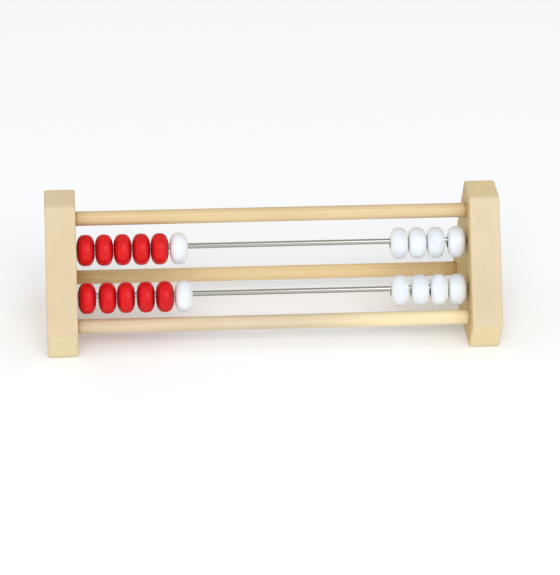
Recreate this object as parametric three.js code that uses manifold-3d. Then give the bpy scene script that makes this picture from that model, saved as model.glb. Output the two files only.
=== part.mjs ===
// A twenty-bead arithmetic rack, the small desk abacus used to learn numbers up to twenty.
// Two wooden end blocks are joined by three dowels and carry two steel rods, and ten turned
// beads slide along each rod: five red ones, then five white ones.
// Units are millimetres. X runs along the rods, -Y is the front, where the bead rows face the
// user, and +Z is up. The origin is on the table, under the middle of the rack.

import * as THREE from "three";
import { mergeVertices } from "three/addons/utils/BufferGeometryUtils.js";
import Module from "manifold-3d";

const wasm = await Module();
wasm.setup();

// ---- driving dimensions ----

// End block: an equilateral triangle with its three corners cut off square.
const LONG_FACE = 75; // long faces of the outline: the base, the front and the back
const SHORT_FACE = 24; // flats where the triangle's corners are cut off
const BLOCK_THICKNESS = 18;
const INNER_SPAN = 230; // clear length between the two blocks
const OUTLINE_RADIUS = 2; // rounding of the outline's six corners
const EDGE_ROUNDING = 1.2; // rounding of the edges around both flat sides

// Dowels: one behind each cut corner.
const DOWEL_RADIUS = 4.25;
const DOWEL_OFFSET = 36.5; // from the block's centre to a dowel's axis
const DOWEL_DEPTH = 12; // length held in each block
const DOWEL_CHAMFER = 0.6;

// Rods: side by side, in a plane parallel to the front face.
const ROD_RADIUS = 1.6;
const ROD_INSET = 15.5; // from the front face to the rods' plane
const ROD_SPACING = 28; // between the two rods
const ROD_DEPTH = 10; // length held in each block
const ROD_CHAMFER = 0.3;

const CLEARANCE = 0.3; // between a dowel or rod and its socket, all round and at its end

// Beads: barrels whose section is a superellipse, bored through along their axis.
const BEAD_RADIUS = 9.3;
const BEAD_LENGTH = 10.6; // between the rims of its hole
const BEAD_HOLE_RADIUS = 3.1;
const BEAD_ROUNDNESS = 2.7; // the superellipse's exponent
const BEAD_HANG = 1.15; // a bead's axis hangs this far below its rod's axis

// Air between neighbours as the beads lie at rest, counted inwards from each end block.
const ROWS = {
  upper: {
    left: [0.2, 0.2, 0.2, 0.3, 0.2, 0.6],
    right: [1.1, 1.6, 0.3, 0.2],
  },
  lower: {
    left: [0.4, 1.3, 0.2, 1.0, 0.6, 0.4],
    right: [1.2, 0.3, 0.7, 1.3],
  },
};
const RED_BEADS = 5;
const WHITE_BEADS = 5;

// Facets.
const CORNER_STEPS = 3;
const EDGE_STEPS = 2;
const ROUND_SIDES = 24; // dowels, rods and their sockets
const BEAD_SIDES = 20;
const BEAD_STEPS = 8; // along the outer curve of a bead's section

// ---- derived places, as (y, z) points in the plane across the rods ----

const SIN_60 = Math.sqrt(3) / 2;
const TRIANGLE_SIDE = LONG_FACE + 2 * SHORT_FACE;
const CENTRE = new THREE.Vector2(0, TRIANGLE_SIDE / (4 * SIN_60));
const CORNER_DISTANCE = TRIANGLE_SIDE / (2 * SIN_60);
const CORNERS = { top: 90, front: 210, back: 330 }; // directions from the centre, in degrees

function fromCentre(degrees, distance) {
  const angle = THREE.MathUtils.degToRad(degrees);
  const arm = new THREE.Vector2(Math.cos(angle), Math.sin(angle));
  return arm.multiplyScalar(distance).add(CENTRE);
}

function rodPlace(side) {
  const frontNormal = 150; // direction of the front face's outward normal
  const upTheFace = 60;
  const middle = fromCentre(frontNormal, CENTRE.y - ROD_INSET);
  const along = fromCentre(upTheFace, (side * ROD_SPACING) / 2).sub(CENTRE);
  return middle.add(along);
}

const RODS = { upper: rodPlace(1), lower: rodPlace(-1) };

// ---- materials ----

const finishes = {
  block: { color: 0xe6d5b0, roughness: 0.6, metalness: 0 },
  dowel: { color: 0xe3c894, roughness: 0.55, metalness: 0 },
  rod: { color: 0xc9c9c9, roughness: 0.2, metalness: 1 },
  red: { color: 0xd9161c, roughness: 0.4, metalness: 0 },
  white: { color: 0xf2f5f8, roughness: 0.35, metalness: 0 },
};

function namedMesh(name, geometry, finish) {
  const mesh = new THREE.Mesh(geometry, new THREE.MeshStandardMaterial(finishes[finish]));
  mesh.name = name;
  return mesh;
}

// ---- solids ----

function toSolid(geometry) {
  const bare = geometry.clone();
  bare.deleteAttribute("normal");
  bare.deleteAttribute("uv");
  const merged = mergeVertices(bare, 1e-4);
  const data = {
    numProp: 3,
    vertProperties: new Float32Array(merged.attributes.position.array),
    triVerts: new Uint32Array(merged.index.array),
  };
  return new wasm.Manifold(new wasm.Mesh(data));
}

function toGeometry(solid) {
  const { vertProperties, triVerts } = solid.getMesh();
  const geometry = new THREE.BufferGeometry();
  geometry.setAttribute("position", new THREE.BufferAttribute(vertProperties, 3));
  geometry.setIndex(new THREE.BufferAttribute(triVerts, 1));
  geometry.computeVertexNormals();
  return geometry;
}

// A bar along X, centred on the origin, with chamfered ends.
function barGeometry(radius, length, chamfer) {
  const half = length / 2;
  const profile = [
    new THREE.Vector2(0, -half),
    new THREE.Vector2(radius - chamfer, -half),
    new THREE.Vector2(radius, chamfer - half),
    new THREE.Vector2(radius, half - chamfer),
    new THREE.Vector2(radius - chamfer, half),
    new THREE.Vector2(0, half),
  ];
  return new THREE.LatheGeometry(profile, ROUND_SIDES).rotateZ(-Math.PI / 2);
}

// ---- end blocks ----

// The six corners of the cut triangle, anticlockwise.
function blockCorners() {
  const angles = [CORNERS.top, CORNERS.front, CORNERS.back];
  const tips = angles.map((angle) => fromCentre(angle, CORNER_DISTANCE));
  const cut = SHORT_FACE / TRIANGLE_SIDE;
  return tips.flatMap((tip, index) => {
    const previous = tips[(index + 2) % 3];
    const next = tips[(index + 1) % 3];
    return [tip.clone().lerp(previous, cut), tip.clone().lerp(next, cut)];
  });
}

function blockShape() {
  const corners = blockCorners();
  const shape = new THREE.Shape();
  corners.forEach((corner, index) => {
    const previous = corners[(index + corners.length - 1) % corners.length];
    const next = corners[(index + 1) % corners.length];
    const start = corner.clone().lerp(previous, OUTLINE_RADIUS / corner.distanceTo(previous));
    const end = corner.clone().lerp(next, OUTLINE_RADIUS / corner.distanceTo(next));
    if (index === 0) {
      shape.moveTo(start.x, start.y);
    } else {
      shape.lineTo(start.x, start.y);
    }
    shape.quadraticCurveTo(corner.x, corner.y, end.x, end.y);
  });
  shape.closePath();
  return shape;
}

// The plain slab, centred on x = 0.
function slabGeometry() {
  const geometry = new THREE.ExtrudeGeometry(blockShape(), {
    depth: BLOCK_THICKNESS - 2 * EDGE_ROUNDING,
    curveSegments: CORNER_STEPS,
    bevelThickness: EDGE_ROUNDING,
    bevelSize: EDGE_ROUNDING,
    bevelOffset: -EDGE_ROUNDING,
    bevelSegments: EDGE_STEPS,
  });
  geometry.translate(0, 0, EDGE_ROUNDING - BLOCK_THICKNESS / 2);
  const outlineToRack = new THREE.Matrix4().makeBasis(
    new THREE.Vector3(0, 1, 0),
    new THREE.Vector3(0, 0, 1),
    new THREE.Vector3(1, 0, 0),
  );
  return geometry.applyMatrix4(outlineToRack);
}

// A blind socket, as the bar that cuts it: it stands out of the inner face by its own depth.
function socketSolid(place, radius, depth, innerFace) {
  const reach = depth + CLEARANCE;
  const geometry = barGeometry(radius + CLEARANCE, 2 * reach, 0);
  return toSolid(geometry.translate(innerFace, place.x, place.y));
}

// side is -1 for the left block and 1 for the right one.
function makeBlock(name, side) {
  const innerFace = (-side * BLOCK_THICKNESS) / 2;
  let solid = toSolid(slabGeometry());
  for (const angle of Object.values(CORNERS)) {
    const place = fromCentre(angle, DOWEL_OFFSET);
    solid = solid.subtract(socketSolid(place, DOWEL_RADIUS, DOWEL_DEPTH, innerFace));
  }
  for (const place of Object.values(RODS)) {
    solid = solid.subtract(socketSolid(place, ROD_RADIUS, ROD_DEPTH, innerFace));
  }
  const mesh = namedMesh(name, toGeometry(solid), "block");
  mesh.position.x = (side * (INNER_SPAN + BLOCK_THICKNESS)) / 2;
  return mesh;
}

// ---- dowels and rods ----

function makeDowel(corner, angle) {
  const length = INNER_SPAN + 2 * DOWEL_DEPTH;
  const mesh = namedMesh(`${corner}_dowel`, barGeometry(DOWEL_RADIUS, length, DOWEL_CHAMFER), "dowel");
  const place = fromCentre(angle, DOWEL_OFFSET);
  mesh.position.set(0, place.x, place.y);
  return mesh;
}

function makeRod(row, place) {
  const length = INNER_SPAN + 2 * ROD_DEPTH;
  const mesh = namedMesh(`${row}_rod`, barGeometry(ROD_RADIUS, length, ROD_CHAMFER), "rod");
  mesh.position.set(0, place.x, place.y);
  return mesh;
}

// ---- beads ----

// The section is a superellipse that the hole cuts off, so the sweep runs from rim to rim.
function beadGeometry() {
  const power = 2 / BEAD_ROUNDNESS;
  const rimAngle = Math.asin((BEAD_HOLE_RADIUS / BEAD_RADIUS) ** (1 / power));
  const halfAxis = BEAD_LENGTH / 2 / Math.cos(rimAngle) ** power;
  const profile = [];
  for (let step = 0; step <= BEAD_STEPS; step += 1) {
    const angle = rimAngle + ((Math.PI - 2 * rimAngle) * step) / BEAD_STEPS;
    const cosine = Math.cos(angle);
    const along = -Math.sign(cosine) * Math.abs(cosine) ** power;
    const across = Math.sin(angle) ** power;
    profile.push(new THREE.Vector2(BEAD_RADIUS * across, halfAxis * along));
  }
  profile.push(profile[0].clone());
  return new THREE.LatheGeometry(profile, BEAD_SIDES).rotateZ(-Math.PI / 2);
}

// Bead centres from one end block inwards; side is -1 from the left and 1 from the right.
function beadCentres(gaps, side) {
  let edge = INNER_SPAN / 2;
  return gaps.map((gap) => {
    const centre = edge - gap - BEAD_LENGTH / 2;
    edge = centre - BEAD_LENGTH / 2;
    return side * centre;
  });
}

function makeRow(row, place) {
  const { left, right } = ROWS[row];
  const centres = [...beadCentres(left, -1), ...beadCentres(right, 1).reverse()];
  const group = new THREE.Group();
  group.position.set(0, place.x, place.y - BEAD_HANG);
  for (let index = 0; index < RED_BEADS + WHITE_BEADS; index += 1) {
    const isRed = index < RED_BEADS;
    const colour = isRed ? "red" : "white";
    const number = isRed ? index + 1 : index + 1 - RED_BEADS;
    const bead = namedMesh(`${row}_${colour}_bead_${number}`, beadGeometry(), colour);
    bead.position.x = centres[index];
    group.add(bead);
  }
  return group;
}

// ---- the whole rack ----

const rack = new THREE.Group();
rack.add(makeBlock("left_end_block", -1));
rack.add(makeBlock("right_end_block", 1));
for (const [corner, angle] of Object.entries(CORNERS)) {
  rack.add(makeDowel(corner, angle));
}
for (const [row, place] of Object.entries(RODS)) {
  rack.add(makeRod(row, place));
  rack.add(makeRow(row, place));
}

export default rack;
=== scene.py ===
import math
import random

import bmesh
import bpy
from mathutils import Matrix, Vector


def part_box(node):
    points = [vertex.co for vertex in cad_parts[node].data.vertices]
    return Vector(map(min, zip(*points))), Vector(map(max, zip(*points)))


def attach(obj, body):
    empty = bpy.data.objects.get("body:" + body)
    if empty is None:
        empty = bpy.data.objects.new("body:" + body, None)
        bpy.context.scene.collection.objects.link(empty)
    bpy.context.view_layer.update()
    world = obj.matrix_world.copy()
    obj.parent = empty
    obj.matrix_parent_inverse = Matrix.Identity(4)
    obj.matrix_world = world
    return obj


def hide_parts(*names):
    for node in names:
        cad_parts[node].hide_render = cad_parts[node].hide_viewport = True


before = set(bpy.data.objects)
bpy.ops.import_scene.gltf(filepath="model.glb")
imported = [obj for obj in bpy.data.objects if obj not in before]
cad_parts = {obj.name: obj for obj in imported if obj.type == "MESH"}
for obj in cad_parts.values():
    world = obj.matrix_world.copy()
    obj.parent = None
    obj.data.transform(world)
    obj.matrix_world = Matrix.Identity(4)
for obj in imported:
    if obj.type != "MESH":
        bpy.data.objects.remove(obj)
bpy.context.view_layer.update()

# A twenty-bead arithmetic rack. Lengths are metres, in the CAD model's frame:
# X along the rods, -Y the front, +Z up, the origin on the table under the middle.

MM = 0.001

# ---- sizes shared with the CAD model ----

LONG_FACE = 75 * MM
SHORT_FACE = 24 * MM
OUTLINE_RADIUS = 2 * MM
EDGE_ROUNDING = 1.2 * MM
DOWEL_RADIUS = 4.25 * MM
DOWEL_CHAMFER = 0.6 * MM
ROD_RADIUS = 1.6 * MM
ROD_CHAMFER = 0.3 * MM
BEAD_RADIUS = 9.3 * MM
BEAD_LENGTH = 10.6 * MM
BEAD_HOLE_RADIUS = 3.1 * MM

# ---- finer shapes that only the looks have ----

SHARP_ANGLE = math.radians(35)

# End blocks
CORNER_STEPS = 6
EDGE_STEPS = 4
TIGHTEST_CORNER = 0.3 * MM  # the outline's radius where its inset is largest
SOCKET_FIT = 0.05 * MM  # air between a dowel or rod and its socket
SOCKET_END = 0.3 * MM  # air past the end of a dowel or rod
MOUTH_CHAMFER = 0.25 * MM  # broken edge round each socket's mouth
CUTTER_REACH = 2 * MM  # how far a socket's cutter stands out of the block
WEAR_AND_HIGHLIGHT_REACH = 2.7 * MM  # how far a worn edge, lightened by wear and a painted highlight, fades into the faces beside it
FACE_TOLERANCE = 0.1 * MM
OUTSIDE_SHADE_SHARE = 0.35  # the painted shade and warm bounce light on a block's outer side, as a share of its inner side's

# Dowels and rods
BAR_SIDES = 64
BAR_STEPS = 18
GLUE_AND_SHADE_REACH = 1.5 * MM  # how far a dowel is darkened, by a glue line and painted shade, on each side of its socket's mouth
PAINTED_SHADE_REACH = 10 * MM  # and how far a fainter painted shade, warm like light bounced off the block, reaches along a dowel from there
BACK_PAINTED_SHADE = 0.7  # its strength on the back dowel
FAINT_PAINTED_SHADE = 0.2  # and on the other two
RIGHT_END_START = 10 * MM  # where a dowel starts to turn to the colour of its right end
RIGHT_END_FULL = 80 * MM

# Beads
BEAD_SIDES = 72
BEAD_STEPS = 40
HOLE_STEPS = 4
RIM_STEPS = 4
RIM_ROUNDING = 0.3 * MM  # where a bead's hole meets its ends
RIM_REACH = 1.2 * MM  # how far from its hole a bead's paint is rubbed
BARE_AND_SHADED_RIM = 0.2 * MM  # how far the bore's bare wood, darkened by painted shade, comes out onto its rim
SHOULDER = 0.45  # where a bead's shoulder starts, as a share of its half length
BEAD_SHORTER = 0.04 * MM  # keeps a tilted bead clear of its neighbour
BEAD_DROP = 0.3 * MM  # below the CAD bead, so that the bead rests on its rod
BEAD_TILT = math.radians(0.5)
LENGTH_SHARES = (0.996, 1.0)
RADIUS_SHARES = (0.985, 1.0)
ROUNDNESSES = (2.6, 2.8)  # exponents of a bead's outline: 2 is an ellipse
SEEDS = (0, 9)

CORNERS = ("top", "front", "back")
ROWS = ("upper", "lower")
COLOURS = ("red", "white")
BEADS_PER_COLOUR = 5

random_numbers = random.Random(20)


# ---- node building ----


def add_node(tree, kind, inputs=None, **settings):
    """Adds a node; an input is a plain value, or the output socket that feeds it."""
    node = tree.nodes.new(kind)
    for name, value in settings.items():
        setattr(node, name, value)
    for name, value in (inputs or {}).items():
        if isinstance(value, bpy.types.NodeSocket):
            tree.links.new(value, node.inputs[name])
        else:
            node.inputs[name].default_value = value
    return node


def calculate(tree, operation, first, second=0.0, clamp=False):
    inputs = {0: first, 1: second}
    node = add_node(tree, "ShaderNodeMath", inputs, operation=operation, use_clamp=clamp)
    return node.outputs[0]


def scaled(tree, value, factor):
    return calculate(tree, "MULTIPLY", value, factor)


def varied(tree, value, base, spread):
    """base, and up to spread more where value is high."""
    inputs = {0: value, 1: spread, 2: base}
    return add_node(tree, "ShaderNodeMath", inputs, operation="MULTIPLY_ADD").outputs[0]


def fade(tree, value, low, high, to_low=0.0, to_high=1.0):
    """A smooth step of value between low and high."""
    inputs = {"Value": value, 1: low, 2: high, 3: to_low, 4: to_high}
    return add_node(
        tree, "ShaderNodeMapRange", inputs, interpolation_type="SMOOTHSTEP"
    ).outputs[0]


def mix_colour(tree, factor, first, second, blend="MIX"):
    node = add_node(tree, "ShaderNodeMix", {0: factor}, data_type="RGBA", blend_type=blend)
    for index, value in ((6, first), (7, second)):
        if isinstance(value, bpy.types.NodeSocket):
            tree.links.new(value, node.inputs[index])
        else:
            node.inputs[index].default_value = (*value, 1)
    return node.outputs[2]


def noise(tree, place, scale, detail=3.0, roughness=0.5):
    inputs = {"Vector": place, "Scale": scale, "Detail": detail, "Roughness": roughness}
    return add_node(tree, "ShaderNodeTexNoise", inputs).outputs[0]


def object_place(tree):
    return add_node(tree, "ShaderNodeTexCoord").outputs["Object"]


def moved_place(tree, place, turn=(0, 0, 0), offset=(0, 0, 0), scale=(1, 1, 1)):
    inputs = {"Vector": place, "Location": offset, "Rotation": turn, "Scale": scale}
    return add_node(tree, "ShaderNodeMapping", inputs).outputs[0]


def drawn_noise(tree, place, stretch, scale, detail=3.0, roughness=0.5):
    """Noise drawn out along X, by one over stretch."""
    return noise(tree, moved_place(tree, place, scale=(stretch, 1, 1)), scale, detail, roughness)


def bump(tree, height, distance, strength):
    inputs = {"Height": height, "Distance": distance, "Strength": strength}
    return add_node(tree, "ShaderNodeBump", inputs).outputs[0]


def mesh_value(tree, name):
    """A number stored on the mesh's points, or 0 on a mesh without it."""
    return add_node(tree, "ShaderNodeAttribute", attribute_name=name).outputs["Fac"]


def new_material(name):
    material = bpy.data.materials.new(name)
    material.use_nodes = True
    material.node_tree.nodes.clear()
    return material, material.node_tree


def finish_shader(tree, inputs):
    shader = add_node(tree, "ShaderNodeBsdfPrincipled", inputs)
    output = add_node(tree, "ShaderNodeOutputMaterial")
    tree.links.new(shader.outputs[0], output.inputs[0])


# ---- materials ----

# Noise scales are per metre. A weight is a layer's share of the colour, a relief its share of
# the bump, and a shade multiplies a colour.

RING_WANDER = 1.8  # how many rings' width a growth ring strays
RING_RISE = 0.35  # where in a ring's width it starts to darken
RING_PEAK = 0.88  # and where it is darkest
PATCH_WEIGHT = 0.45
FIBRE_WEIGHT = 0.35
STREAK_WEIGHT = 0.5
WOOD_TONE = 0.1  # the tone before those are added
FLECK_WEIGHT = 0.2
FLECK_SHADE = 0.78
WORN_AND_HIGHLIGHT_WEIGHT = 0.45
WORN_AND_HIGHLIGHT_SHADE = 1.06
GLUE_AND_SHADE_WEIGHT = 0.85
GLUE_AND_SHADE_SHADES = (0.66, 0.52, 0.33)
FLECK_RELIEF = 0.6
RING_RELIEF = 0.3
BRUSH_WEIGHT = 0.4
END_SHADING_WEIGHT = 0.7
RUBBED_WEIGHT = 0.7
RUBBED_ROUGHNESS = 0.3
LATHE_RELIEF = 0.8
BORE_PAINTED_SHADE = 0.2
BEAD_RUB_RELIEF = 0.1


def growth_rings(tree, board, ring_width):
    """Rings round the board's X, gently wandering, and fading in and out along the grain."""
    wandering = drawn_noise(tree, board, stretch=0.25, scale=38, detail=2)
    split = add_node(tree, "ShaderNodeSeparateXYZ", {0: board})
    across = calculate(tree, "POWER", split.outputs[1], 2)
    upward = calculate(tree, "POWER", split.outputs[2], 2)
    radius = calculate(tree, "SQRT", calculate(tree, "ADD", across, upward))
    count = calculate(tree, "DIVIDE", radius, ring_width)
    count = calculate(tree, "ADD", count, scaled(tree, wandering, RING_WANDER))
    phase = calculate(tree, "FRACT", count)
    rising = fade(tree, phase, RING_RISE, RING_PEAK)
    falling = fade(tree, phase, RING_PEAK, 1.0, to_low=1.0, to_high=0.0)
    present = noise(tree, board, scale=55, detail=1)
    present = fade(tree, present, low=0.35, high=0.65, to_low=0.25)
    return scaled(tree, scaled(tree, rising, falling), present)


def wood(name, pale, deep, turn, offset, ring_width, ring_weight, tints):
    """Sealed pale hardwood.

    turn lays the grain along the texture's X, and offset picks the log. tints multiplies the
    colour where a value on the mesh, which it gives by name, is high.
    """
    material, tree = new_material(name)
    board = moved_place(tree, object_place(tree), turn=turn, offset=offset)
    # Broad tone: sapwood and heartwood, and a little mineral staining.
    patches = fade(tree, drawn_noise(tree, board, stretch=0.35, scale=32), low=0.3, high=0.7)
    ring = growth_rings(tree, board, ring_width)
    # Fibres, pores and the short dark flecks of a close-grained wood.
    fibres = drawn_noise(tree, board, stretch=0.035, scale=2600, detail=4, roughness=0.65)
    streaks = drawn_noise(tree, board, stretch=0.05, scale=520)
    flecks = drawn_noise(tree, board, stretch=0.09, scale=1500, detail=1)
    flecks = fade(tree, flecks, low=0.66, high=0.76)

    tone = scaled(tree, ring, ring_weight)
    tone = calculate(tree, "ADD", tone, scaled(tree, patches, PATCH_WEIGHT))
    for grain, weight in ((fibres, FIBRE_WEIGHT), (streaks, STREAK_WEIGHT)):
        centred = calculate(tree, "SUBTRACT", grain, 0.5)
        tone = calculate(tree, "ADD", tone, scaled(tree, centred, weight))
    tone = calculate(tree, "ADD", tone, WOOD_TONE, clamp=True)
    colour = mix_colour(tree, tone, pale, deep)
    for value_name, tint in tints.items():
        colour = mix_colour(tree, mesh_value(tree, value_name), colour, tint, "MULTIPLY")
    fleck_colour = [value * FLECK_SHADE for value in deep]
    colour = mix_colour(tree, scaled(tree, flecks, FLECK_WEIGHT), colour, fleck_colour)
    # Lighter edges: wear, and a painted highlight along the rounded edges.
    worn_and_highlight = scaled(tree, mesh_value(tree, "edge_wear_and_highlight"), WORN_AND_HIGHLIGHT_WEIGHT)
    colour = mix_colour(tree, worn_and_highlight, colour, [value * WORN_AND_HIGHLIGHT_SHADE for value in pale])
    # A dowel is darkened where it enters its block: a glue line and painted shade at the mouth,
    # and painted shade further along.
    glue_and_shade = scaled(tree, mesh_value(tree, "glue_and_shade"), GLUE_AND_SHADE_WEIGHT)
    glue_and_shade_colour = [value * shade for value, shade in zip(deep, GLUE_AND_SHADE_SHADES)]
    colour = mix_colour(tree, glue_and_shade, colour, glue_and_shade_colour)

    relief = calculate(tree, "SUBTRACT", fibres, scaled(tree, flecks, FLECK_RELIEF))
    relief = calculate(tree, "ADD", relief, scaled(tree, ring, RING_RELIEF))
    finish_shader(tree, {
        "Base Color": colour,
        "Roughness": varied(tree, fibres, base=0.48, spread=0.2),
        "Normal": bump(tree, relief, distance=0.03 * MM, strength=0.7),
        "Specular IOR Level": 0.3,
        "Coat Weight": 0.08,
        "Coat Roughness": 0.4,
    })
    return material


def paint(name, colour, deep_colour, under_colour):
    """Satin paint over a turned bead: brush thickness, lathe lines, rubbed rims, a bare bore
    darkened by painted shade, and painted shading towards the ends.
    """
    material, tree = new_material(name)
    place = object_place(tree)
    seed = mesh_value(tree, "bead_seed")
    shift = add_node(tree, "ShaderNodeCombineXYZ", {0: seed, 1: seed, 2: seed}).outputs[0]
    own = add_node(tree, "ShaderNodeVectorMath", {0: place, 1: shift}, operation="ADD").outputs[0]
    # Fine turning lines run round the bead, so they depend on X alone.
    split = add_node(tree, "ShaderNodeSeparateXYZ", {0: place})
    along = add_node(tree, "ShaderNodeCombineXYZ", {0: split.outputs[0], 1: seed}).outputs[0]
    lines = noise(tree, along, scale=2400, detail=2)
    thickness = noise(tree, own, scale=110)
    peel = noise(tree, own, scale=1500, detail=2)
    rubbed = noise(tree, own, scale=900, detail=4, roughness=0.7)
    rubbed = fade(tree, rubbed, low=0.52, high=0.6)
    rubbed = scaled(tree, rubbed, fade(tree, mesh_value(tree, "rim"), low=0.55, high=1.0))

    # Towards the ends the colour turns to deep_colour: painted shade on the red beads, painted
    # light on the white ones.
    painted_end_shading = scaled(tree, mesh_value(tree, "end_shading"), END_SHADING_WEIGHT)
    tone = scaled(tree, fade(tree, thickness, low=0.3, high=0.75), BRUSH_WEIGHT)
    tone = calculate(tree, "ADD", tone, painted_end_shading, clamp=True)
    surface = mix_colour(tree, tone, colour, deep_colour)
    surface = mix_colour(tree, scaled(tree, rubbed, RUBBED_WEIGHT), surface, under_colour)
    # The bare wood in the bore is darkened to a fifth: painted shade.
    shaded_bore_colour = [value * BORE_PAINTED_SHADE for value in under_colour]
    surface = mix_colour(tree, mesh_value(tree, "bore"), surface, shaded_bore_colour)

    relief = calculate(tree, "ADD", peel, scaled(tree, lines, LATHE_RELIEF))
    relief = calculate(tree, "SUBTRACT", relief, rubbed)
    rough = varied(tree, thickness, base=0.24, spread=0.14)
    rough = calculate(tree, "ADD", rough, scaled(tree, rubbed, RUBBED_ROUGHNESS))
    finish_shader(tree, {
        "Base Color": surface,
        "Roughness": rough,
        "Normal": bump(tree, relief, distance=0.02 * MM, strength=0.7),
        "Specular IOR Level": 0.2,
        "Coat Weight": 0.04,
        "Coat Roughness": 0.15,
    })
    return material


def steel(name):
    """Bright drawn wire: fine lines along the rod, and faint rings where beads rub."""
    material, tree = new_material(name)
    place = object_place(tree)
    drawn = drawn_noise(tree, place, stretch=0.01, scale=9000)
    rubs = noise(tree, moved_place(tree, place, scale=(1, 0.02, 0.02)), scale=2500)
    dull = noise(tree, place, scale=60)
    relief = calculate(tree, "ADD", drawn, scaled(tree, rubs, BEAD_RUB_RELIEF))
    finish_shader(tree, {
        "Base Color": mix_colour(tree, drawn, (0.37, 0.36, 0.34), (0.50, 0.49, 0.46)),
        "Roughness": varied(tree, dull, base=0.05, spread=0.1),
        "Metallic": 1.0,
        "Normal": bump(tree, relief, distance=0.004 * MM, strength=0.25),
    })
    return material


def table_top(name):
    material, tree = new_material(name)
    speckle = noise(tree, object_place(tree), scale=400, detail=2)
    finish_shader(tree, {
        "Base Color": mix_colour(tree, speckle, (0.87, 0.88, 0.895), (0.89, 0.90, 0.915)),
        "Roughness": 0.6,
        "Specular IOR Level": 0.2,
        # A faint glow stands in for a lit table: it lightens the table's shadows and throws light
        # up onto the rack.
        "Emission Color": (1, 1, 1, 1),
        "Emission Strength": 0.12,
    })
    return material


# ---- mesh building ----


def set_value(mesh, name, values):
    attribute = mesh.attributes.new(name, "FLOAT", "POINT")
    attribute.data.foreach_set("value", values)


def smooth_faces(mesh):
    mesh.shade_smooth()
    mesh.set_sharp_from_angle(angle=SHARP_ANGLE)


def make_object(name, bm, material, place=(0, 0, 0)):
    bmesh.ops.recalc_face_normals(bm, faces=bm.faces)
    mesh = bpy.data.meshes.new(name)
    bm.to_mesh(mesh)
    bm.free()
    smooth_faces(mesh)
    if material is not None:
        mesh.materials.append(material)
    piece = bpy.data.objects.new(name, mesh)
    piece.location = place
    bpy.context.scene.collection.objects.link(piece)
    return piece


def lathe(profile, sides, closed=False):
    """Turns (x, radius) points about the X axis. A point on the axis becomes one vertex."""
    bm = bmesh.new()
    angles = [2 * math.pi * side / sides for side in range(sides)]
    rings = []
    for x, radius in profile:
        if radius == 0:
            rings.append([bm.verts.new((x, 0, 0))] * sides)
            continue
        ring = [bm.verts.new((x, radius * math.cos(a), radius * math.sin(a))) for a in angles]
        rings.append(ring)
    pairs = list(zip(rings, rings[1:]))
    if closed:
        pairs.append((rings[-1], rings[0]))
    for first, second in pairs:
        for side in range(sides):
            after = (side + 1) % sides
            corners = [first[side], first[after], second[after], second[side]]
            bm.faces.new(list(dict.fromkeys(corners)))
    return bm


def stand_for(piece, node, body):
    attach(piece, body)
    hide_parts(node)


# ---- end blocks ----

# The outline's six faces in order, as the directions of their outward normals.
FACE_DIRECTIONS = (90, 150, 210, 270, 330, 30)
LONG_DIRECTIONS = (30, 150, 270)
TRIANGLE_SIDE = LONG_FACE + 2 * SHORT_FACE
LONG_DISTANCE = TRIANGLE_SIDE / (2 * math.sqrt(3))  # from the centre to a long face
SHORT_DISTANCE = 2 * LONG_DISTANCE - SHORT_FACE * math.sqrt(3) / 2
SINE_60_SQUARED = 0.75


def direction(degrees):
    angle = math.radians(degrees)
    return Vector((math.cos(angle), math.sin(angle)))


def face_distance(degrees):
    return LONG_DISTANCE if degrees in LONG_DIRECTIONS else SHORT_DISTANCE


def block_corners(inset):
    """Where neighbouring faces meet, with every face moved in by inset."""
    corners = []
    for index, degrees in enumerate(FACE_DIRECTIONS):
        following = FACE_DIRECTIONS[(index + 1) % len(FACE_DIRECTIONS)]
        here = face_distance(degrees) - inset
        there = face_distance(following) - inset
        first = direction(degrees) * (here - there / 2)
        second = direction(following) * (there - here / 2)
        corners.append((first + second) / SINE_60_SQUARED)
    return corners


def block_outline(inset):
    """The outline with rounded corners, and a point on each face a little way past each."""
    corners = block_corners(inset)
    radius = max(OUTLINE_RADIUS - inset, TIGHTEST_CORNER)
    outline = []
    for index, corner in enumerate(corners):
        backwards = (corners[index - 1] - corner).normalized()
        forwards = (corners[(index + 1) % len(corners)] - corner).normalized()
        outline.append(corner + backwards * WEAR_AND_HIGHLIGHT_REACH)
        for step in range(CORNER_STEPS + 1):
            t = step / CORNER_STEPS
            pull = backwards * radius * (1 - t) ** 2 + forwards * radius * t * t
            outline.append(corner + pull)
        outline.append(corner + forwards * WEAR_AND_HIGHLIGHT_REACH)
    return outline


def block_slab(half):
    """The slab as a stack of outlines, from the middle of one flat side round to the other."""
    levels = [(half, EDGE_ROUNDING + 2 * WEAR_AND_HIGHLIGHT_REACH), (half, EDGE_ROUNDING + WEAR_AND_HIGHLIGHT_REACH)]
    for step in range(EDGE_STEPS + 1):
        turn = math.pi / 2 * (1 - step / EDGE_STEPS)
        x = half - EDGE_ROUNDING * (1 - math.sin(turn))
        levels.append((x, EDGE_ROUNDING * (1 - math.cos(turn))))
    levels.append((half - EDGE_ROUNDING - WEAR_AND_HIGHLIGHT_REACH, 0))
    levels += [(-x, inset) for x, inset in reversed(levels)]
    bm = bmesh.new()
    rings = [[bm.verts.new((x, p.x, p.y)) for p in block_outline(inset)] for x, inset in levels]
    for first, second in zip(rings, rings[1:]):
        for index in range(len(first)):
            after = (index + 1) % len(first)
            bm.faces.new((first[index], first[after], second[after], second[index]))
    bm.faces.new(rings[0])
    bm.faces.new(rings[-1])
    return bm


def socket_cutter(radius, depth, inwards):
    """The shape of one socket about its mouth: a hole with a broken edge."""
    fit = radius + SOCKET_FIT
    profile = [
        (-CUTTER_REACH, 0),
        (-CUTTER_REACH, fit + MOUTH_CHAMFER),
        (0, fit + MOUTH_CHAMFER),
        (MOUTH_CHAMFER, fit),
        (depth, fit),
        (depth, 0),
    ]
    return lathe([(inwards * x, r) for x, r in profile], BAR_SIDES)


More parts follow.
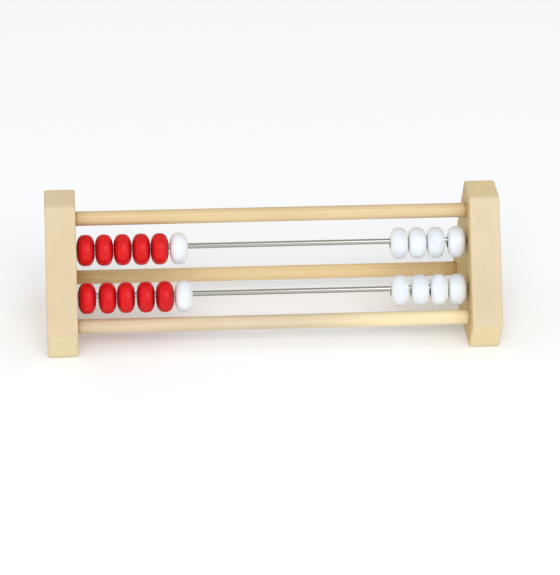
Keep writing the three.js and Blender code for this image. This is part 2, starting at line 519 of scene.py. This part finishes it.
def cut_out(block, cutter):
    cut = block.modifiers.new("socket", "BOOLEAN")
    cut.operation = "DIFFERENCE"
    cut.solver = "EXACT"
    cut.object = cutter
    bpy.context.view_layer.objects.active = block
    bpy.ops.object.modifier_apply(modifier=cut.name)
    bpy.data.objects.remove(cutter)


def edge_wear_and_highlight(point, half):
    """1 on the rounded edges of a block, falling to 0 a little way in on its faces: wear and a
    painted highlight.
    """
    gaps = [half - abs(point.x)]
    for degrees in FACE_DIRECTIONS:
        out = direction(degrees)
        gaps.append(face_distance(degrees) - point.y * out.x - point.z * out.y)
    second_nearest = sorted(gaps)[1]
    return max(0.0, 1 - second_nearest / WEAR_AND_HIGHLIGHT_REACH)


def on_short_face(point, directions):
    """1 on the cut-off corners of a block that face these directions, and 0 elsewhere."""
    outward = [point.y * direction(a).x + point.z * direction(a).y for a in directions]
    return float(max(outward) > SHORT_DISTANCE - FACE_TOLERANCE)


def side_shade_share(point, half, side):
    """How much painted shade and warm bounce light a block's flat sides get: fully inside the
    rack, less on the outside.
    """
    if abs(point.x) < half - EDGE_ROUNDING / 2:
        return 0.0
    return OUTSIDE_SHADE_SHARE if point.x * side > 0 else 1.0


def make_block(name, side, material):
    """side is -1 for the left block and 1 for the right one."""
    low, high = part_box(name)
    half = (high.x - low.x) / 2
    middle = Vector(((low.x + high.x) / 2, 0, LONG_DISTANCE))
    block = make_object(name + "_wood", block_slab(half), material, middle)
    bars = {f"{corner}_dowel": DOWEL_RADIUS for corner in CORNERS}
    bars.update({f"{row}_rod": ROD_RADIUS for row in ROWS})
    inner_face = middle.x - side * half
    for bar, radius in bars.items():
        bar_low, bar_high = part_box(bar)
        centre = (bar_low + bar_high) / 2
        depth = bar_high.x - abs(inner_face) + SOCKET_END
        mouth = (inner_face, centre.y, centre.z)
        cut_out(block, make_object("cutter", socket_cutter(radius, depth, side), None, mouth))
    mesh = block.data
    smooth_faces(mesh)
    set_value(mesh, "edge_wear_and_highlight", [edge_wear_and_highlight(v.co, half) for v in mesh.vertices])
    set_value(mesh, "painted_side_shade", [side_shade_share(v.co, half, side) for v in mesh.vertices])
    # Masks for painted light: the wood tints lighten the top face and the low faces.
    for value_name, directions in (("painted_top_light", (90,)), ("painted_low_light", (210, 330))):
        set_value(mesh, value_name, [on_short_face(v.co, directions) for v in mesh.vertices])
    flat = block.modifiers.new("flat_faces", "WEIGHTED_NORMAL")
    flat.keep_sharp = True
    stand_for(block, name, "frame")


# ---- dowels and rods ----


def right_end_share(x):
    """0 along most of a dowel, rising smoothly to 1 towards its right end."""
    share = min(1.0, max(0.0, (x - RIGHT_END_START) / (RIGHT_END_FULL - RIGHT_END_START)))
    return share * share * (3 - 2 * share)


def make_bar(node, radius, chamfer, material, painted_shade=0.0):
    """A dowel or rod, with a value that darkens a dowel's wood where it enters its sockets (glue
    and painted shade) and further along (painted shade).
    """
    low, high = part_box(node)
    centre = (low + high) / 2
    half = (high.x - low.x) / 2
    inner_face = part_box("right_end_block")[0].x
    stations = [half - chamfer, inner_face + GLUE_AND_SHADE_REACH, inner_face]
    stations += [inner_face - GLUE_AND_SHADE_REACH, inner_face - PAINTED_SHADE_REACH / 2, inner_face - PAINTED_SHADE_REACH]
    for step in range(1, BAR_STEPS):
        stations.append((inner_face - PAINTED_SHADE_REACH) * (1 - step / BAR_STEPS))
    profile = [(-half, 0), (-half, radius - chamfer)] + [(-x, radius) for x in stations]
    profile += [(0, radius)] + [(x, radius) for x in reversed(stations)]
    profile += [(half, radius - chamfer), (half, 0)]
    bar = make_object(node + "_bar", lathe(profile, BAR_SIDES), material, centre)
    points = bar.data.vertices
    set_value(bar.data, "toward_right_end", [right_end_share(point.co.x) for point in points])
    from_mouth = [abs(abs(point.co.x) - inner_face) for point in points]
    # Glue and painted shade at each mouth, and a fainter painted shade further along the dowel.
    glue_and_shade = [
        max(0.0, 1 - gap / GLUE_AND_SHADE_REACH, painted_shade * (1 - gap / PAINTED_SHADE_REACH)) for gap in from_mouth
    ]
    set_value(bar.data, "glue_and_shade", glue_and_shade)
    stand_for(bar, node, "frame")


# ---- beads ----


def bead_profile(length, radius, roundness):
    """Rim to rim over the outside, then back through the hole."""
    power = 2 / roundness
    rim_radius = BEAD_HOLE_RADIUS + RIM_ROUNDING
    rim_angle = math.asin((rim_radius / radius) ** (1 / power))
    half_axis = length / 2 / math.cos(rim_angle) ** power
    profile = []
    for step in range(BEAD_STEPS + 1):
        angle = rim_angle + (math.pi - 2 * rim_angle) * step / BEAD_STEPS
        cosine = math.cos(angle)
        x = -math.copysign(abs(cosine) ** power, cosine) * half_axis
        profile.append((x, radius * math.sin(angle) ** power))
    inner = length / 2 - RIM_ROUNDING
    for step in range(1, RIM_STEPS + 1):
        turn = math.pi / 2 * step / RIM_STEPS
        drop = RIM_ROUNDING * math.sin(turn)
        profile.append((inner + RIM_ROUNDING * math.cos(turn), rim_radius - drop))
    for step in range(1, HOLE_STEPS):
        profile.append((inner * (1 - 2 * step / HOLE_STEPS), BEAD_HOLE_RADIUS))
    for step in range(RIM_STEPS):
        turn = math.pi / 2 * step / RIM_STEPS
        rise = RIM_ROUNDING * (1 - math.cos(turn))
        profile.append((-inner - RIM_ROUNDING * math.sin(turn), BEAD_HOLE_RADIUS + rise))
    return profile


def make_bead(node, material):
    low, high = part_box(node)
    centre = (low + high) / 2 - Vector((0, 0, BEAD_DROP))
    length = (BEAD_LENGTH - BEAD_SHORTER) * random_numbers.uniform(*LENGTH_SHARES)
    radius = BEAD_RADIUS * random_numbers.uniform(*RADIUS_SHARES)
    roundness = random_numbers.uniform(*ROUNDNESSES)
    bm = lathe(bead_profile(length, radius, roundness), BEAD_SIDES, closed=True)
    bead = make_object(node + "_turned", bm, material, centre)
    tilt_y = random_numbers.uniform(-BEAD_TILT, BEAD_TILT)
    tilt_z = random_numbers.uniform(-BEAD_TILT, BEAD_TILT)
    spin = random_numbers.uniform(0, 2 * math.pi)
    turn = Matrix.Rotation(tilt_z, 3, "Z") @ Matrix.Rotation(tilt_y, 3, "Y")
    bead.rotation_euler = (turn @ Matrix.Rotation(spin, 3, "X")).to_euler()
    points = bead.data.vertices
    across = [math.hypot(point.co.y, point.co.z) for point in points]
    rim = [max(0.0, 1 - (r - BEAD_HOLE_RADIUS) / RIM_REACH) for r in across]
    set_value(bead.data, "rim", rim)
    out = [abs(point.co.x) / (length / 2) for point in points]
    set_value(bead.data, "end_shading", [max(0.0, (x - SHOULDER) / (1 - SHOULDER)) for x in out])
    # The bare bore and the edge of its rim, which the paint darkens with painted shade.
    bare = BEAD_HOLE_RADIUS + BARE_AND_SHADED_RIM
    set_value(bead.data, "bore", [float(r < bare) for r in across])
    set_value(bead.data, "bead_seed", [random_numbers.uniform(*SEEDS)] * len(points))
    stand_for(bead, node, node)


# ---- the rack ----

# The grain runs up the front face, so the turn brings that direction onto the texture's X.
left_wood = wood(
    "left_block_wood", pale=(0.625, 0.515, 0.338), deep=(0.53, 0.42, 0.247),
    turn=(math.radians(-60), math.radians(4), math.radians(-81)), offset=(0.1, 0.01, 0.052),
    ring_width=5 * MM, ring_weight=0.16,
    tints={
        # painted light on the top and low faces
        "painted_top_light": (1.22, 1.19, 1.17),
        "painted_low_light": (1.22, 1.26, 1.22),
        # painted shade with warm bounce light on the flat sides
        "painted_side_shade": (1.0, 0.88, 0.62),
    },
)
right_wood = wood(
    "right_block_wood", pale=(0.622, 0.52, 0.356), deep=(0.53, 0.42, 0.256),
    turn=(math.radians(-52), math.radians(-6), math.radians(-97)), offset=(0.4, 0.13, 0.046),
    ring_width=5 * MM, ring_weight=0.14,
    tints={
        # painted light on the top and low faces
        "painted_top_light": (1.17, 1.10, 0.92),
        "painted_low_light": (1.21, 1.22, 1.01),
        # painted shade with warm bounce light on the flat sides
        "painted_side_shade": (1.06, 0.93, 0.6),
    },
)
# Each dowel comes from its own length of stock, so each has its own log and its own colours:
# pale, deep, and the tint of its right end.
# The right-end tint makes the front dowel much lighter towards its right end; the other two change
# little.
dowel_colours = {
    "top": ((0.68, 0.53, 0.305), (0.55, 0.405, 0.20), (1.0, 1.0, 1.06)),
    "front": ((0.638, 0.523, 0.364), (0.54, 0.42, 0.265), (1.3, 1.36, 1.26)),
    "back": ((0.775, 0.60, 0.335), (0.65, 0.47, 0.225), (1.08, 1.05, 1.03)),
}
dowel_woods = {}
for index, (corner, (pale, deep, right_end_tint)) in enumerate(dowel_colours.items()):
    dowel_woods[corner] = wood(
        corner + "_dowel_wood", pale=pale, deep=deep,
        turn=(0, 0.01, 0.01), offset=(0.2 * index, 0.013 + 0.01 * index, 0.006),
        ring_width=2.4 * MM, ring_weight=0.4, tints={"toward_right_end": right_end_tint},
    )
rod_steel = steel("rod_steel")
bead_paints = {
    # deep_colour is the thicker paint's colour and the painted shade towards the bead's ends.
    "red": paint(
        "red_paint", colour=(0.64, 0.007, 0.009), deep_colour=(0.40, 0.003, 0.009),
        under_colour=(0.55, 0.3, 0.14),
    ),
    # deep_colour, lighter than colour, is the thicker paint's colour and painted light towards the
    # bead's ends.
    "white": paint(
        "white_paint", colour=(0.635, 0.675, 0.715), deep_colour=(0.90, 0.915, 0.925),
        under_colour=(0.6, 0.47, 0.3),
    ),
}

make_block("left_end_block", -1, left_wood)
make_block("right_end_block", 1, right_wood)
for corner in CORNERS:
    # The painted shade along the dowel is strongest on the back dowel.
    painted_shade = BACK_PAINTED_SHADE if corner == "back" else FAINT_PAINTED_SHADE
    make_bar(
        corner + "_dowel", DOWEL_RADIUS, DOWEL_CHAMFER, dowel_woods[corner], painted_shade
    )
for row in ROWS:
    make_bar(row + "_rod", ROD_RADIUS, ROD_CHAMFER, rod_steel)
    for colour in COLOURS:
        for number in range(1, BEADS_PER_COLOUR + 1):
            make_bead(f"{row}_{colour}_bead_{number}", bead_paints[colour])


# ---- table, light and camera ----

TABLE_HALF = 6.0
CAMERA_AZIMUTH = math.radians(-4.425)
CAMERA_ELEVATION = math.radians(27.3)
CAMERA_ROLL = math.radians(0.63)
CAMERA_DISTANCE = 1.884
CAMERA_TARGET = Vector((0.0056, 0, 0.0234))
CAMERA_LENS = 198.2  # mm, on a sensor whose long side is CAMERA_SENSOR
CAMERA_SENSOR = 36


def make_table():
    bm = bmesh.new()
    corners = [(-1, -1), (1, -1), (1, 1), (-1, 1)]
    bm.faces.new([bm.verts.new((x * TABLE_HALF, y * TABLE_HALF, 0)) for x, y in corners])
    table = make_object("table_top", bm, table_top("pale_table"))


def aim(thing, place, target, roll=0.0):
    """Puts a light or the camera at place, looking at target."""
    ahead = (Vector(target) - Vector(place)).normalized()
    level = ahead.to_track_quat("-Z", "Y").to_matrix()
    turned = level @ Matrix.Rotation(roll, 3, "Z")
    thing.matrix_world = Matrix.Translation(place) @ turned.to_4x4()


def soft_light(name, place, target, width, height, power):
    light = bpy.data.lights.new(name, "AREA")
    light.shape = "RECTANGLE"
    light.size = width
    light.size_y = height
    light.energy = power
    holder = bpy.data.objects.new(name, light)
    bpy.context.scene.collection.objects.link(holder)
    aim(holder, place, target)
    return holder


def light_world(strength, from_front):
    """A white light tent, brighter towards the front than behind."""
    world = bpy.data.worlds.new("studio")
    bpy.context.scene.world = world
    world.use_nodes = True
    tree = world.node_tree
    place = add_node(tree, "ShaderNodeTexCoord").outputs["Generated"]
    split = add_node(tree, "ShaderNodeSeparateXYZ", {0: place})
    lean = scaled(tree, split.outputs[1], -from_front)
    brightness = scaled(tree, calculate(tree, "ADD", lean, 1.0), strength)
    background = tree.nodes["Background"]
    background.inputs["Color"].default_value = (1, 1, 1, 1)
    tree.links.new(brightness, background.inputs["Strength"])


def make_camera():
    camera = bpy.data.cameras.new("camera")
    camera.lens = CAMERA_LENS
    camera.sensor_width = CAMERA_SENSOR
    camera.clip_start = 0.05
    camera.clip_end = 50
    holder = bpy.data.objects.new("camera", camera)
    bpy.context.scene.collection.objects.link(holder)
    back = Vector((
        math.sin(CAMERA_AZIMUTH) * math.cos(CAMERA_ELEVATION),
        -math.cos(CAMERA_AZIMUTH) * math.cos(CAMERA_ELEVATION),
        math.sin(CAMERA_ELEVATION),
    ))
    aim(holder, CAMERA_TARGET + back * CAMERA_DISTANCE, CAMERA_TARGET, CAMERA_ROLL)
    bpy.context.scene.camera = holder


make_table()
light_world(strength=0.74, from_front=0.4)
# The key lights the wood and the paint; the panel at the front right is what shows in the gloss.
key = soft_light(
    "key", place=(0.0, -2.9, 2.3), target=(0, 0, 0.03), width=2.4, height=1.4, power=63
)
key.visible_glossy = False
panel = soft_light(
    "panel", place=(1.05, -2.4, 2.3), target=(0, 0, 0.04), width=1.55, height=2.1, power=32
)
panel.visible_diffuse = False
make_camera()
bpy.context.scene.view_settings.view_transform = "Standard"
